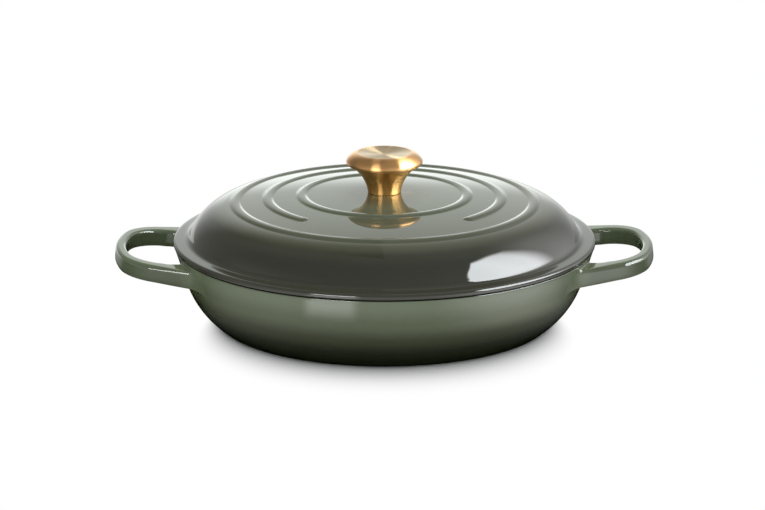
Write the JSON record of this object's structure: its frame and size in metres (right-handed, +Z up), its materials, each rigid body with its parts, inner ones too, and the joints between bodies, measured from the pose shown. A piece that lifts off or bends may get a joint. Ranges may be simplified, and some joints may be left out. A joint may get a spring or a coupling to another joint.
{
  "type": "braiser",
  "caption": "Round shallow enamelled cast-iron casserole with two loop handles and a domed, ringed lid with a dished metal knob.",
  "frame": {"origin": "on the surface that the pan stands on, on the axis of the round pan", "axes": "+X through the two handles, +Z up, -Y the front, where the middle ring of the lid stops short"},
  "size_m": [0.3958, 0.31, 0.1263],
  "materials": {
    "pan_enamel": "glossy sage-green enamel outside, sand-coloured enamel inside, dark matt rim",
    "lid_enamel": "glossy sage-green enamel outside, sand-coloured enamel inside, dark matt lip",
    "knob_metal": "warm gold, brushed in circles, with a radially brushed dish",
    "bush_metal": "plain turned",
    "fastener_steel": "plain stainless"
  },
  "bodies": {
    "pan": {"pan_body": "pan_enamel"},
    "fastener": {"knob_screw": "fastener_steel", "flat_washer": "fastener_steel", "spring_washer": "fastener_steel"},
    "lid": {"lid": "lid_enamel"},
    "knob": {"knob_cap": "knob_metal", "knob_stem": "knob_metal", "knob_insert": "bush_metal"}
  },
  "joints": [
    {"name": "lid_lift", "type": "slide", "parent": "pan", "child": "fastener", "axis": [0, 0, 1], "range_m": [0, 0.2]},
    {"name": "lid_turn", "type": "hinge", "parent": "fastener", "child": "lid", "pos_m": [0, 0, 0.0907], "axis": [0, 0, 1], "continuous": true},
    {"name": "knob_turn", "type": "hinge", "parent": "fastener", "child": "knob", "pos_m": [0, 0, 0.0965], "axis": [0, 0, 1], "continuous": true}
  ],
  "couplings": [
    {"joint": "knob_turn", "follows": "lid_turn", "ratio": 1}
  ]
}
